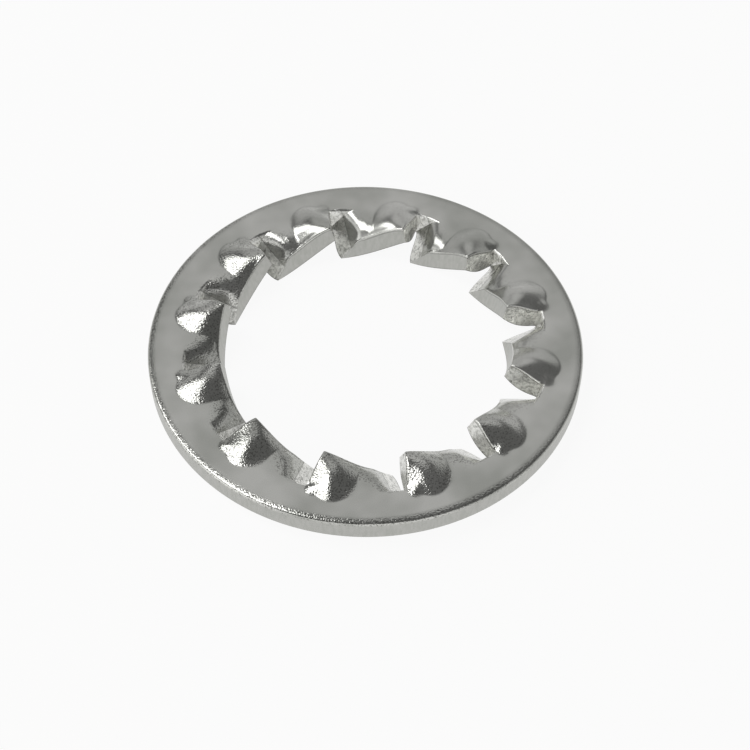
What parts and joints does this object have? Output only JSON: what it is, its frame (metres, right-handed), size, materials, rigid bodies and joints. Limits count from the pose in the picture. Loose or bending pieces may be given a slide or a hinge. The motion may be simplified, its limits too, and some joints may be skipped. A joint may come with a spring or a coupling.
{
  "type": "toothed lock washer",
  "caption": "Flat steel ring with an inner circle of twisted, sharp-cornered teeth that bite under a bolt head or nut and keep it from working loose.",
  "frame": {"origin": "centre of the ring, half way through its thickness", "axes": "+Z along the bolt's axis, out of the face with the rounded outer edge; the slit between two teeth lies on +X"},
  "size_m": [0.0205, 0.0204, 0.0022],
  "materials": {
    "steel": "bright tumbled spring steel, smooth on the faces and grainy where the teeth were lanced"
  },
  "bodies": {
    "root": {"lock_washer": "steel"}
  },
  "joints": []
}
